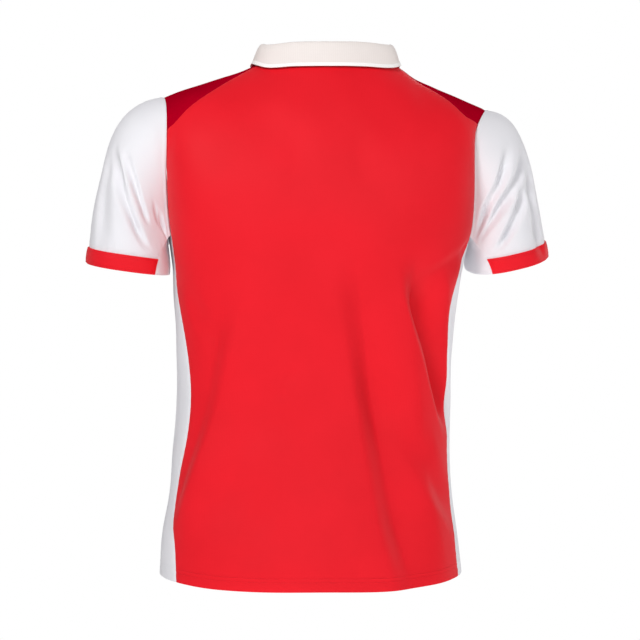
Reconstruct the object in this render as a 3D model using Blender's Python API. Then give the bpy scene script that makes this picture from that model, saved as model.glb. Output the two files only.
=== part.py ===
"""A football jersey with a folded collar, filled out as if worn, with nobody in it.

Metres and degrees. +Z is up, the front faces -Y and +X is the wearer's left. The origin lies between the
shoulders, at the foot of the neck, where the wearer holds the jersey up. Every cloth piece is a wall with its
outer face on the shape that the functions below work out, and neighbours stand SEAM_GAP apart.
"""

import math
from collections import namedtuple

import bpy
import numpy as np

# Driving dimensions
HEM_HEIGHT = -0.700  # bottom edge of the body
HEM_FADE = -0.560  # above it the sections are level
ARMPIT_HEIGHT = -0.230
SHOULDER_REACH = 0.224  # middle of the neck to the sleeve seam, on top
NECK_SHARE = 0.318  # share of the shoulder's columns that the neck takes, which makes it 180 mm wide
BACK_NECK_DROP = 0.30  # how far the neckline dips at the spine, in steps of up
FRONT_NECK_DROP = 0.62  # the same for the V at the front
COLLAR_LIFT = 0.0040  # leaf clear of the cloth it lies on
COLLAR_FOLD = 0.0038  # radius of the collar where it folds over
COLLAR_LEAN = 0.004  # how far its stand leans in towards the neck
COLLAR_END = 0.006  # where it stops short of the V, as a share of the neck seam on one hand
NECK_MIDDLE = (0.0, 0.012, 0.0)
CUFF_WIDTH = 0.022
CUFF_RADIUS = 0.0562  # side to side
CUFF_DEPTH_RADIUS = 0.0620  # front to back
CUFF_SQUARE = 2.4  # 2 is an ellipse, more is squarer
CLOTH = 0.0015
COLLAR_CLOTH = 0.0018
SEAM_GAP = 0.0003

# The upper body
COLUMN_SPREAD = 70.0  # angle that spaces the columns along the shoulder ridge
CLIMB = 1.45  # how full the upper body is just over the armpits
SLOPE_STEP = 0.002

# Cells of the cloth grids
BODY_ROWS = 22
ARMHOLE_ROWS = 9
NECK_CELLS = 12
SHOULDER_CELLS = 11
ROLL_CELLS = 6
SIDE_CELLS = 6
SLEEVE_ROWS = 9
CUFF_ROWS = 2
COLLAR_ROWS = 4
STEP = 0.002

# The sleeves
SLEEVE_GIRTH = 0.45
SLEEVE_LENGTH = 0.22
TOP_SHARE = 0.36  # share of the armhole that either half of the sleeve takes; the underarm panel has the rest
TOP_ANGLE = 126.0  # the same on the cuff, from its outermost point

# Sections of the body below the armpits; square is 2 for an ellipse and more for a squarer oblong
Section = namedtuple("Section", "height centre_x half_width back_depth front_depth square")
TORSO = (
    Section(-0.700, 0.0210, 0.2075, 0.122, 0.112, 2.35),
    Section(-0.663, 0.0215, 0.2055, 0.120, 0.111, 2.35),
    Section(-0.594, 0.0212, 0.1960, 0.112, 0.109, 2.35),
    Section(-0.525, 0.0197, 0.1903, 0.106, 0.108, 2.35),
    Section(-0.456, 0.0169, 0.1886, 0.102, 0.109, 2.40),
    Section(-0.387, 0.0158, 0.1903, 0.104, 0.113, 2.50),
    Section(-0.318, 0.0142, 0.1940, 0.111, 0.119, 2.75),
    Section(-0.275, 0.0115, 0.1975, 0.115, 0.122, 3.00),
    Section(-0.230, 0.0101, 0.2056, 0.118, 0.124, 3.25),
)

# How far the hem lifts off its height round the body, which fades out upwards
Hem = namedtuple("Hem", "turn lift")
HEM = (
    Hem(-180.0, 0.0010),
    Hem(-150.0, 0.0010),
    Hem(-115.0, 0.0050),
    Hem(-90.0, 0.0090),
    Hem(-62.0, 0.0050),
    Hem(-45.0, 0.0000),
    Hem(-25.0, -0.0038),
    Hem(0.0, -0.0020),
    Hem(25.0, -0.0008),
    Hem(40.0, 0.0012),
    Hem(61.0, 0.0065),
    Hem(90.0, 0.0100),
    Hem(115.0, 0.0060),
    Hem(150.0, 0.0010),
    Hem(180.0, 0.0010),
)

# The seams of the side panels, as angles round the body from the middle of the back
Seam = namedtuple("Seam", "height back_left back_right front_left front_right")
SIDE_SEAMS = (
    Seam(-0.700, 61.0, 66.5, 116.0, 116.0),
    Seam(-0.660, 63.0, 65.5, 115.0, 116.0),
    Seam(-0.610, 69.5, 69.5, 114.0, 115.0),
    Seam(-0.560, 69.0, 68.0, 113.0, 115.0),
    Seam(-0.500, 63.5, 68.5, 113.0, 115.0),
    Seam(-0.440, 61.5, 69.5, 114.0, 116.0),
    Seam(-0.385, 64.0, 62.5, 115.5, 118.5),
    Seam(-0.330, 70.5, 57.8, 117.5, 120.5),
    Seam(-0.285, 79.5, 61.0, 119.5, 120.5),
    Seam(-0.230, 76.5, 71.5, 122.0, 122.0),
)

# The ridge of the shoulders from right to left; between the necks it is only the dome that the neckline cuts
Ridge = namedtuple("Ridge", "reach height")
RIDGE = (
    Ridge(-0.224, -0.0535),
    Ridge(-0.178, -0.0335),
    Ridge(-0.149, -0.0233),
    Ridge(-0.120, -0.0107),
    Ridge(-0.104, 0.0010),
    Ridge(-0.090, 0.0090),
    Ridge(-0.050, 0.0280),
    Ridge(0.000, 0.0360),
    Ridge(0.050, 0.0260),
    Ridge(0.090, 0.0060),
    Ridge(0.112, -0.0040),
    Ridge(0.148, -0.0170),
    Ridge(0.193, -0.0327),
    Ridge(0.224, -0.0440),
)

# How the cloth rolls over the shoulders: over is the reach of the roll, swell the extra fullness half way
# up, draw how far it is drawn towards +X there, and flare how its columns lean sideways on the ridge
Upper = namedtuple("Upper", "across over_back over_front swell_back swell_front draw flare")
UPPER = (
    Upper(-1.00, 0.100, 0.100, 0.028, 0.024, 0.022, 0.000),
    Upper(-0.85, 0.125, 0.122, 0.020, 0.018, 0.011, -0.004),
    Upper(-0.70, 0.145, 0.140, 0.014, 0.012, 0.005, -0.004),
    Upper(-0.35, 0.165, 0.140, 0.003, 0.003, 0.000, -0.002),
    Upper(0.00, 0.175, 0.130, 0.000, 0.000, 0.000, 0.000),
    Upper(0.35, 0.165, 0.140, 0.003, 0.003, 0.000, 0.002),
    Upper(0.70, 0.145, 0.140, 0.014, 0.012, 0.000, 0.010),
    Upper(0.85, 0.125, 0.122, 0.020, 0.018, 0.000, 0.018),
    Upper(1.00, 0.100, 0.100, 0.028, 0.024, 0.000, 0.024),
)

# The lower edges of the dark shoulder panels, as dips below the ridge, from right to left
Shoulder = namedtuple("Shoulder", "across dip_back dip_front")
SHOULDER_SEAMS = (
    Shoulder(-1.00, 0.32, 0.24),
    Shoulder(-0.85, 0.34, 0.22),
    Shoulder(-0.72, 0.34, 0.18),
    Shoulder(-0.58, 0.22, 0.14),
    Shoulder(-0.45, 0.13, 0.09),
    Shoulder(-0.32, 0.05, 0.05),
    Shoulder(0.32, 0.05, 0.05),
    Shoulder(0.45, 0.15, 0.09),
    Shoulder(0.58, 0.25, 0.14),
    Shoulder(0.72, 0.34, 0.18),
    Shoulder(0.85, 0.42, 0.22),
    Shoulder(1.00, 0.45, 0.24),
)

# The neck seam on each hand, from the V (0) to the spine (1): how tall the collar stands, and how much
# further out across and down the front or back its folded leaf ends
Leaf = namedtuple("Leaf", "place stand widen lower")
COLLAR = (
    Leaf(0.00, 0.0140, 0.150, 0.090),
    Leaf(0.12, 0.0150, 0.135, 0.125),
    Leaf(0.30, 0.0190, 0.090, 0.110),
    Leaf(0.48, 0.0240, 0.054, 0.050),
    Leaf(0.58, 0.0255, 0.043, 0.000),
    Leaf(0.68, 0.0265, 0.037, 0.032),
    Leaf(0.84, 0.0270, 0.018, 0.045),
    Leaf(1.00, 0.0270, 0.000, 0.048),
)
FRONT_PART = 0.54  # share of that seam that runs down the front panel
SHOULDER_PART = 0.08  # share of it that crosses the end of the shoulder panel

# The sleeve on each hand: centre of the cuff ring, and the way the sleeve runs there
Sleeve = namedtuple("Sleeve", "hand cuff_x cuff_y cuff_z run_x run_y run_z")
SLEEVES = {
    "left": Sleeve(1, 0.2708, -0.004, -0.2758, 0.13, -0.11, -0.985),
    "right": Sleeve(-1, -0.2548, -0.004, -0.2652, -0.225, -0.20, -0.954),
}

# The way the sleeve leaves the armhole, from the shoulder (0) to the armpit (0.5); reach and arrive
# are how far it runs on so at either end, in shares of its length
Leave = namedtuple("Leave", "round out back down reach arrive")
LEAVES = (
    Leave(0.00, 1.00, 0.00, -0.07, 0.85, 1.85),
    Leave(0.18, 0.86, 0.06, -0.38, 0.92, 1.60),
    Leave(0.36, 0.46, 0.10, -0.86, 0.90, 1.20),
    Leave(0.50, 0.16, 0.00, -0.98, 0.85, 1.00),
)

# Folds of the body, each from a start over a middle to an end, as angles round the body and heights, with
# the reach of its walls on the left and on the right of that line as seen from outside on the way from a to c.
# A fold with a depth below nought stands out as a ridge
Fold = namedtuple("Fold", "turn_a height_a turn_b height_b turn_c height_c left right depth")
BODY_FOLDS = (
    Fold(31.0, -0.250, 47.8, -0.485, 71.5, -0.640, 0.052, 0.028, -0.0090),
    Fold(-8.8, -0.235, -23.8, -0.480, -37.2, -0.745, 0.056, 0.030, 0.0140),
    Fold(-29.0, -0.225, -47.0, -0.375, -71.0, -0.505, 0.042, 0.028, 0.0195),
    Fold(-37.0, -0.480, -51.0, -0.560, -72.0, -0.635, 0.034, 0.028, 0.0065),
    Fold(150.0, -0.270, 144.0, -0.430, 128.0, -0.650, 0.030, 0.040, 0.0070),
    Fold(-152.0, -0.260, -147.0, -0.400, -133.0, -0.570, 0.036, 0.030, 0.0065),
    Fold(172.0, -0.320, 176.0, -0.480, 186.0, -0.670, 0.044, 0.030, 0.0060),
)
BODY_ARC = 0.16  # cloth to one radian of turn, for the reach of the folds

# Folds of the sleeves: round is the place on the armhole loop, along runs from the armhole (0) to the hem (1)
SleeveFold = namedtuple("SleeveFold", "round_a along_a round_b along_b round_c along_c left right depth")
SLEEVE_FOLDS = {
    "left": (
        SleeveFold(0.082, 0.47, 0.182, 0.53, 0.335, 0.58, 0.024, 0.024, 0.0055),
        SleeveFold(0.900, 0.25, 0.800, 0.50, 0.660, 0.60, 0.028, 0.024, 0.0065),
    ),
    "right": (
        SleeveFold(0.100, 0.36, 0.200, 0.46, 0.335, 0.36, 0.024, 0.024, 0.0055),
        SleeveFold(0.070, 0.53, 0.185, 0.66, 0.325, 0.63, 0.024, 0.024, 0.0050),
        SleeveFold(0.910, 0.28, 0.800, 0.50, 0.660, 0.56, 0.028, 0.024, 0.0065),
    ),
}

Cloth = namedtuple("Cloth", "name colour roughness")
RED = Cloth("red knitted polyester", (0.80, 0.018, 0.032), 0.80)
DARK_RED = Cloth("dark red knitted polyester", (0.45, 0.004, 0.026), 0.80)
WHITE = Cloth("white knitted polyester", (0.86, 0.86, 0.88), 0.82)
CREAM = Cloth("cream ribbed collar knit", (0.83, 0.79, 0.76), 0.85)


def arch(t):
    """The four weights of a cubic that has its place and its slope given at both ends."""
    return 2 * t**3 - 3 * t**2 + 1, t**3 - 2 * t**2 + t, -2 * t**3 + 3 * t**2, t**3 - t**2


def ease(t):
    """From 0 to 1 with no corner at either end."""
    return arch(np.clip(t, 0, 1))[2]


def follow(rows, column, place):
    """One column of a table, on a smooth curve through its rows, which runs on straight past its ends."""
    knots = np.array([row[0] for row in rows])
    values = np.array([getattr(row, column) for row in rows])
    slopes = np.gradient(values, knots)
    past = np.where(place > knots[-1], slopes[-1] * (place - knots[-1]), 0)
    past = past + np.where(place < knots[0], slopes[0] * (place - knots[0]), 0)
    place = np.clip(place, knots[0], knots[-1])
    low = np.clip(np.searchsorted(knots, place, side="right") - 1, 0, len(rows) - 2)
    gap = knots[low + 1] - knots[low]
    start, leave, end, arrive = arch((place - knots[low]) / gap)
    inside = values[low] * start + slopes[low] * gap * leave
    return past + inside + values[low + 1] * end + slopes[low + 1] * gap * arrive


def vector(x, y, z):
    return np.stack(np.broadcast_arrays(x, y, z), axis=-1).astype(float)


def unit(rows):
    return rows / np.maximum(np.linalg.norm(rows, axis=-1, keepdims=True), 1e-9)


def press(first, second, path, fold):
    """How deep a fold is at a place: a trough along a bent line, which fades out at both of its ends.

    The line is the curve through the path's three places, as twelve straight pieces, and each place is
    measured from the nearest of them. Each wall of the fold eases from its bottom up to the plain cloth.
    """
    t = np.linspace(0, 1, 13)
    (a1, a2), (b1, b2), (c1, c2) = path
    weights = (1 - t) * (1 - 2 * t), 4 * t * (1 - t), t * (2 * t - 1)
    line1 = a1 * weights[0] + b1 * weights[1] + c1 * weights[2]
    line2 = a2 * weights[0] + b2 * weights[1] + c2 * weights[2]
    run1, run2 = np.diff(line1), np.diff(line2)
    off1, off2 = first[..., None] - line1[:-1], second[..., None] - line2[:-1]
    share = np.clip((off1 * run1 + off2 * run2) / (run1**2 + run2**2), 0, 1)
    away1, away2 = off1 - share * run1, off2 - share * run2
    nearest = np.argmin(away1**2 + away2**2, axis=-1)[..., None]
    away1, away2, share = (np.take_along_axis(each, nearest, -1)[..., 0] for each in (away1, away2, share))
    nearest = nearest[..., 0]
    to_right = (run1[nearest] * away2 - run2[nearest] * away1) / np.hypot(run1, run2)[nearest]
    width = fold.left + (fold.right - fold.left) * ease(to_right / 0.012 + 0.5)
    along = (nearest + share) / len(run1)
    wall = 1 - ease(np.hypot(away1, away2) / width)
    return fold.depth * wall * ease(along / 0.35) * ease((1 - along) / 0.25)


def crease(points, turn):
    """The body with its folds pressed in, straight towards its upright middle line."""
    turn = np.where(turn > 180, turn - 360, turn)
    inwards = 0 * turn
    for fold in BODY_FOLDS:
        near = (turn - fold.turn_b + 180) % 360 - 180
        path = [
            (math.radians(angle - fold.turn_b) * BODY_ARC, height)
            for angle, height in (
                (fold.turn_a, fold.height_a), (fold.turn_b, fold.height_b), (fold.turn_c, fold.height_c)
            )
        ]
        inwards = inwards + press(np.radians(near) * BODY_ARC, points[..., 2], path, fold)
    return points - inwards[..., None] * vector(np.sin(np.radians(turn)), np.cos(np.radians(turn)), 0 * turn)


def smooth_torso(turn, height):
    """The body below the armpits, a rounded oblong at each height; turn 0 is the middle of the back."""
    across, along = np.sin(np.radians(turn)), np.cos(np.radians(turn))
    square = follow(TORSO, "square", height)
    rounding = (np.abs(across) ** square + np.abs(along) ** square) ** (-1 / square)
    depth = np.where(along > 0, follow(TORSO, "back_depth", height), follow(TORSO, "front_depth", height))
    x = follow(TORSO, "centre_x", height) + follow(TORSO, "half_width", height) * across * rounding
    lift = follow(HEM, "lift", (turn + 180) % 360 - 180) * ease((HEM_FADE - height) / (HEM_FADE - HEM_HEIGHT))
    return vector(x, depth * along * rounding, height + lift)


def torso(turn, height):
    turn, height = np.broadcast_arrays(np.asarray(turn, float), np.asarray(height, float))
    return crease(smooth_torso(turn, height), turn)


def panel_turn(across, height, face):
    """Where a column of the back (face 1) or front (face -1) stands: -1 is its right seam, 1 its left."""
    side = "back" if face > 0 else "front"
    left, right = (follow(SIDE_SEAMS, f"{side}_{hand}", height) for hand in ("left", "right"))
    if face < 0:
        left, right = 180 - left, 180 - right
    turn = (left + right) / 2 * across + (left - right) / 2 * across**2
    return turn if face > 0 else 180 - turn


def body(across, up, face):
    """The whole back or front. up is 0 at the hem, 1 at the armpits and 2 on the ridge of the shoulders."""
    across, up = np.broadcast_arrays(np.asarray(across, float), np.asarray(up, float))
    height = HEM_HEIGHT + (ARMPIT_HEIGHT - HEM_HEIGHT) * np.minimum(up, 1)
    lower = smooth_torso(panel_turn(across, height, face), height)
    foot_turn = panel_turn(across, ARMPIT_HEIGHT, face)
    foot = smooth_torso(foot_turn, ARMPIT_HEIGHT)
    slope = (foot - smooth_torso(foot_turn, ARMPIT_HEIGHT - SLOPE_STEP)) / SLOPE_STEP
    spread = math.radians(COLUMN_SPREAD)
    reach = SHOULDER_REACH * np.sin(spread * across) / math.sin(spread)
    top = vector(reach, 0, follow(RIDGE, "height", reach))
    side = "back" if face > 0 else "front"
    over = vector(follow(UPPER, "flare", across), -face * follow(UPPER, f"over_{side}", across), 0)
    swell = vector(follow(UPPER, "draw", across), face * follow(UPPER, f"swell_{side}", across), 0)
    rise = np.clip(up - 1, 0, 1)[..., None]
    start, leave, end, arrive = arch(rise)
    climb = slope * CLIMB * (top[..., 2:] - ARMPIT_HEIGHT)
    upper = foot * start + climb * leave + top * end + over * arrive + swell * 16 * rise**2 * (1 - rise) ** 2
    points = np.where(rise > 0, upper, lower)
    return crease(points, panel_turn(across, height, face))


def shoulder_top(across, face):
    """Where the shoulder panel's seam runs, in steps of up."""
    return 2 - follow(SHOULDER_SEAMS, "dip_back" if face > 0 else "dip_front", across)


def neckline(across, face):
    """Where the neck seam runs: a shallow bow at the back, a rounded V at the front."""
    share = np.clip(np.abs(across) / NECK_SHARE, 0, 1)
    corner = shoulder_top(NECK_SHARE * np.sign(across + 1e-9), face)
    if face > 0:
        return corner - (BACK_NECK_DROP - 0.05) * np.sqrt(np.maximum(1 - share**2, 0))
    return corner - (FRONT_NECK_DROP - 0.05) * (1 - share**1.6)


def armhole(hand, loop):
    """The sleeve seam: down the back from the shoulder (0), under the arm (0.5) and up the front (1)."""
    loop = np.asarray(loop, float) % 1
    back = body(hand, 2 - np.clip(loop / TOP_SHARE, 0, 1), 1)
    front = body(hand, 2 - np.clip((1 - loop) / TOP_SHARE, 0, 1), -1)
    share = np.clip((loop - TOP_SHARE) / (1 - 2 * TOP_SHARE), 0, 1)
    under = side(hand, share, ARMPIT_HEIGHT)
    loop = loop[..., None]
    return np.where(loop < TOP_SHARE, back, np.where(loop > 1 - TOP_SHARE, front, under))


def side(hand, across, height):
    """The side panel, from its seam with the back (0) to its seam with the front (1)."""
    back = panel_turn(float(hand), height, 1)
    front = panel_turn(float(hand), height, -1)
    front = front if hand > 0 else front - 360
    return torso(back + (front - back) * across, height)


def sleeve(name, loop, along):
    """The sleeve from the armhole (0) to its hem (1), with the folds pressed in towards its middle line."""
    loop, along = np.broadcast_arrays(np.asarray(loop, float) % 1, np.asarray(along, float))
    made = SLEEVES[name]
    half = np.where(loop > 0.5, 1 - loop, loop)
    face = np.where(loop > 0.5, -1, 1)
    start = armhole(made.hand, loop) + vector(made.hand * SEAM_GAP, 0, 0)
    step = np.where(
        half < TOP_SHARE,
        half / TOP_SHARE * TOP_ANGLE,
        TOP_ANGLE + (180 - TOP_ANGLE) * (half - TOP_SHARE) / (0.5 - TOP_SHARE),
    )
    run = unit(vector(made.run_x, made.run_y, made.run_z))
    outward = unit(vector(-run[2] * made.hand, 0, run[0] * made.hand))
    behind = np.cross(outward, run) * made.hand
    across, deep = np.cos(np.radians(step)), np.sin(np.radians(step))
    rounding = (np.abs(across) ** CUFF_SQUARE + np.abs(deep) ** CUFF_SQUARE) ** (-1 / CUFF_SQUARE)
    spoke = outward * (across * rounding)[..., None] * CUFF_RADIUS
    spoke = spoke + behind * (face * deep * rounding)[..., None] * CUFF_DEPTH_RADIUS
    end = vector(made.cuff_x, made.cuff_y, made.cuff_z) + spoke
    away = [follow(LEAVES, column, half) for column in ("out", "back", "down")]
    leave = unit(vector(away[0] * made.hand, away[1] * face, away[2]))
    length = np.linalg.norm(end - start, axis=-1, keepdims=True)
    weights = arch(along[..., None])
    points = start * weights[0] + leave * length * follow(LEAVES, "reach", half)[..., None] * weights[1]
    points = points + end * weights[2] + run * length * follow(LEAVES, "arrive", half)[..., None] * weights[3]
    inwards = 0 * along
    for fold in SLEEVE_FOLDS[name]:
        near = (loop - fold.round_b + 0.5) % 1 - 0.5
        path = [
            (made.hand * (place - fold.round_b) * SLEEVE_GIRTH, share * SLEEVE_LENGTH)
            for place, share in (
                (fold.round_a, fold.along_a), (fold.round_b, fold.along_b), (fold.round_c, fold.along_c)
            )
        ]
        inwards = inwards + press(made.hand * near * SLEEVE_GIRTH, along * SLEEVE_LENGTH, path, fold)
    inwards = inwards * ease(along / 0.15)
    return points - inwards[..., None] * unit(spoke)


def cuff_start(name, loop):
    """Where the cuff's upper seam crosses the sleeve, so that the band has one width all round."""
    loop = np.asarray(loop, float)
    along = np.full(loop.shape, 0.9)
    for _ in range(6):
        band = sleeve(name, loop, 1.0) - sleeve(name, loop, along)
        along = 1 - (1 - along) * CUFF_WIDTH / np.linalg.norm(band, axis=-1)
    return along


def neck_place(place):
    """Where the neck seam crosses the panels, from the V (0) to the spine (1): across, up and face."""
    corner = 1 - FRONT_PART - SHOULDER_PART
    front = NECK_SHARE * np.clip(place / FRONT_PART, 0, 1)
    back = NECK_SHARE * np.clip((1 - place) / corner, 0, 1)
    over = np.clip((place - FRONT_PART) / SHOULDER_PART, 0, 1) * 2 - 1
    dip = np.where(over < 0, shoulder_top(NECK_SHARE, -1), shoulder_top(NECK_SHARE, 1))
    up = np.where(place < FRONT_PART, neckline(front, -1), 2 - (2 - dip) * np.abs(over))
    up = np.where(place > 1 - corner, neckline(back, 1), up)
    across = np.where(place < FRONT_PART, front, back)
    return across, up, np.where(over < 0, -1, 1)


def on_body(across, up, face):
    """A place on the back (face 1) or the front (face -1), whichever each entry of face says."""
    return np.where(face[..., None] > 0, body(across, up, 1), body(across, up, -1))


def body_facing(across, up, face):
    """The way the cloth faces at such a place."""
    sideways = on_body(across + STEP, up, face) - on_body(across - STEP, up, face)
    upwards = on_body(across, up - STEP, face) - on_body(across, up - 2 * STEP, face)
    return unit(np.cross(sideways, upwards)) * -face[..., None]


def neck_seam(hand, place):
    across, up, face = neck_place(place)
    return on_body(hand * across, up, face)


def collar(hand, place, fold):
    """One half of the collar: from the neck seam (0) up the stand, over the fold (1) and down the leaf (2).

    At the back it stands upright, and towards the V it comes to stand square to the front.
    """
    place, fold = np.broadcast_arrays(np.asarray(place, float), np.asarray(fold, float))
    across, up, face = neck_place(place)
    seam = neck_seam(hand, place)
    square = body_facing(hand * across, up, face)
    seam_run = neck_seam(hand, place + STEP) - neck_seam(hand, place - STEP)
    flat = arch(np.clip((place - 0.05) / 0.50, 0, 1))[0][..., None]
    level = unit((seam - NECK_MIDDLE) * (1, 1, 0))
    away = unit(unit(hand * np.cross(seam_run, square)) * flat + level * (1 - flat))
    lift = unit(square * flat + np.array((0, 0, 1)) * (1 - flat))
    stand = follow(COLLAR, "stand", place)[..., None]
    edge_across = hand * (across + follow(COLLAR, "widen", place))
    edge_up = up - follow(COLLAR, "lower", place)
    edge = on_body(edge_across, edge_up, face) + body_facing(edge_across, edge_up, face) * COLLAR_LIFT
    inwards = away * np.clip(place / 0.15, 0, 1)[..., None]
    seam = seam + lift * 2 * SEAM_GAP
    crest = seam + lift * stand - inwards * 0.002
    fall = edge - crest
    sideways = fall - np.sum(fall * away, axis=-1, keepdims=True) * away
    sideways = np.linalg.norm(sideways, axis=-1, keepdims=True)
    bend = away * np.sqrt(4 * COLLAR_FOLD * stand)
    turn = away * np.sqrt(4 * COLLAR_FOLD * sideways)
    first = arch(np.clip(fold, 0, 1)[..., None])
    rising = lift * stand - inwards * COLLAR_LEAN * stand / 0.030
    stand_part = seam * first[0] + rising * first[1] + crest * first[2] + bend * first[3]
    second = arch(np.clip(fold - 1, 0, 1)[..., None])
    leaf_part = crest * second[0] + turn * second[1] + edge * second[2] + fall * second[3]
    return np.where(fold[..., None] < 1, stand_part, leaf_part)


def wall(name, surface, first, second, cloth, drawn_back="", thickness=CLOTH, flip=False):
    """A cloth piece: the surface is its outer face, and its inner face lies one thickness behind.

    first runs down the rows of the grid and second along its columns. drawn_back names the edges that
    stand half a seam back: top and bottom rows, left and right columns.
    """
    first, second = np.broadcast_arrays(np.asarray(first, float), np.asarray(second, float))
    outer = surface(first, second)
    down = surface(first + STEP, second) - surface(first - STEP, second)
    along = surface(first, second + STEP) - surface(first, second - STEP)
    facing = unit(np.cross(down, along))
    columns = outer.swapaxes(0, 1)
    sides = {"top": outer, "bottom": outer[::-1], "left": columns, "right": columns[::-1]}
    for edge in drawn_back.split():
        lines = sides[edge]
        lines[0] += unit(lines[1] - lines[0]) * SEAM_GAP / 2
    if flip:
        outer, facing = outer[::-1], -facing[::-1]
    inner = outer - facing * thickness
    rows, columns = outer.shape[:2]
    over = np.arange(rows * columns).reshape(rows, columns)
    under = over + rows * columns
    rim = np.concatenate([over[0, :-1], over[:-1, -1], over[-1, :0:-1], over[:0:-1, 0]])
    rim_next = np.roll(rim, -1)
    faces = [
        np.stack([over[:-1, :-1], over[1:, :-1], over[1:, 1:], over[:-1, 1:]], axis=-1).reshape(-1, 4),
        np.stack([under[:-1, :-1], under[:-1, 1:], under[1:, 1:], under[1:, :-1]], axis=-1).reshape(-1, 4),
        np.stack([rim, rim_next, rim_next + rows * columns, rim + rows * columns], axis=-1),
    ]
    mesh = bpy.data.meshes.new(name)
    corners = np.concatenate([outer.reshape(-1, 3), inner.reshape(-1, 3)])
    mesh.from_pydata(corners.tolist(), [], np.concatenate(faces).tolist())
    mesh.materials.append(bpy.data.materials.get(cloth.name) or dye(cloth))
    piece = bpy.data.objects.new(name, mesh)
    bpy.context.scene.collection.objects.link(piece)
    return piece


def dye(cloth):
    material = bpy.data.materials.new(cloth.name)
    material.use_nodes = True
    shader = material.node_tree.nodes["Principled BSDF"]
    shader.inputs["Base Color"].default_value = (*cloth.colour, 1)
    shader.inputs["Roughness"].default_value = cloth.roughness
    shader.inputs["Metallic"].default_value = 0
    return material


def panel(name, face):
    """The back or the front: from the hem to the armpits, and on to the shoulder seams and the neckline."""
    neck = np.linspace(-NECK_SHARE, NECK_SHARE, NECK_CELLS + 1)
    beside = np.linspace(NECK_SHARE, 1, SHOULDER_CELLS + 1)[1:]
    across = np.concatenate([-beside[::-1], neck, beside])
    top = np.where(np.abs(across) <= NECK_SHARE + 1e-6, neckline(across, face), shoulder_top(across, face))
    low = np.linspace(0, 1, BODY_ROWS + 1)[:, None] * np.ones_like(across)
    high = 1 + (top - 1) * np.linspace(0, 1, ARMHOLE_ROWS + 1)[1:, None]
    up = np.concatenate([low, high])

    def surface(height, place):
        return body(place, height, face)

    wall(name, surface, up, across + 0 * up, RED, "bottom left right", flip=face < 0)


def shoulder_panel(name, hand):
    """A strip over the shoulder, from its seam on the back to its seam on the front."""
    across = np.sort(hand * np.linspace(NECK_SHARE, 1, SHOULDER_CELLS + 1))[:, None]

    def surface(place, share):
        back = body(place, 2 - (2 - shoulder_top(place, 1)) * np.maximum(-share, 0), 1)
        front = body(place, 2 - (2 - shoulder_top(place, -1)) * np.maximum(share, 0), -1)
        return np.where(share[..., None] < 0, back, front)

    wall(name, surface, across, np.linspace(-1, 1, ROLL_CELLS + 1), DARK_RED, "left right", flip=True)


def side_panel(name, hand):
    height = np.linspace(HEM_HEIGHT, ARMPIT_HEIGHT, BODY_ROWS + 1)[:, None]

    def surface(level, across):
        return side(hand, across, level)

    wall(name, surface, height, np.linspace(0, 1, SIDE_CELLS + 1), WHITE, "left right", flip=hand < 0)


def sleeve_panels(name, hand):
    """The sleeve and its cuff go over the top; the underarm panel, with the same rows, closes them."""
    rise = np.linspace(0, 1, ARMHOLE_ROWS + 1)
    back, front = (1 + (shoulder_top(float(hand), face) - 1) * rise for face in (1, -1))
    roll = np.linspace(-1, 1, ROLL_CELLS + 1)[1:-1]
    up = np.where(roll < 0, (2 - back[-1]) * roll, (2 - front[-1]) * roll)
    loop = np.concatenate([back - 2, up, (2 - front)[::-1]])[::-1] * -TOP_SHARE
    band = cuff_start(name, loop)

    def surface(along, place):
        return sleeve(name, place, along)

    rows = np.linspace(0, 1, SLEEVE_ROWS + 1)[:, None]
    cuff_rows = np.linspace(0, 1, CUFF_ROWS + 1)[:, None]
    wall(f"sleeve_{name}", surface, rows * band, loop + 0 * rows, WHITE, "bottom left right", flip=hand < 0)
    wall(f"cuff_{name}", surface, band + cuff_rows * (1 - band), loop, RED, "top left right", flip=hand < 0)
    loop = np.linspace(TOP_SHARE, 1 - TOP_SHARE, SIDE_CELLS + 1)
    band = cuff_start(name, loop)
    along = np.concatenate([rows * band, band + cuff_rows[1:] * (1 - band)])
    wall(f"underarm_{name}", surface, along, loop, WHITE, "left right", flip=hand < 0)


def collar_panel():
    front = np.linspace(0, FRONT_PART, NECK_CELLS + 1)
    front[0] = COLLAR_END
    shoulder = np.linspace(FRONT_PART, FRONT_PART + SHOULDER_PART, ROLL_CELLS // 2 + 1)[1:]
    back = np.linspace(FRONT_PART + SHOULDER_PART, 1, NECK_CELLS // 2 + 1)[1:]
    half = np.concatenate([front, shoulder, back])
    place = np.concatenate([half - 1, 1 - half[-2::-1]])

    def surface(fold, where):
        return np.where(where[..., None] < 0, collar(1, 1 + where, fold), collar(-1, 1 - where, fold))

    fold = np.linspace(0, 2, 2 * COLLAR_ROWS + 1)[:, None]
    wall("collar", surface, fold, place, CREAM, "left right", COLLAR_CLOTH)


def main():
    for old in list(bpy.data.objects):
        bpy.data.objects.remove(old)
    panel("back", 1)
    panel("front", -1)
    for name, hand in (("left", 1), ("right", -1)):
        shoulder_panel(f"shoulder_{name}", hand)
        side_panel(f"side_{name}", hand)
        sleeve_panels(name, hand)
    collar_panel()


if __name__ == "__main__":
    main()
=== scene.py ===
"""A football jersey with a folded collar, filled out as if worn, with nobody in it.

Metres and degrees. +Z is up, the front faces -Y and +X is the wearer's left. Every cloth piece is a thin
shell on the form of its solid, with finer creases, seams, sewing and knit added.
"""

import math
from collections import namedtuple

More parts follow.
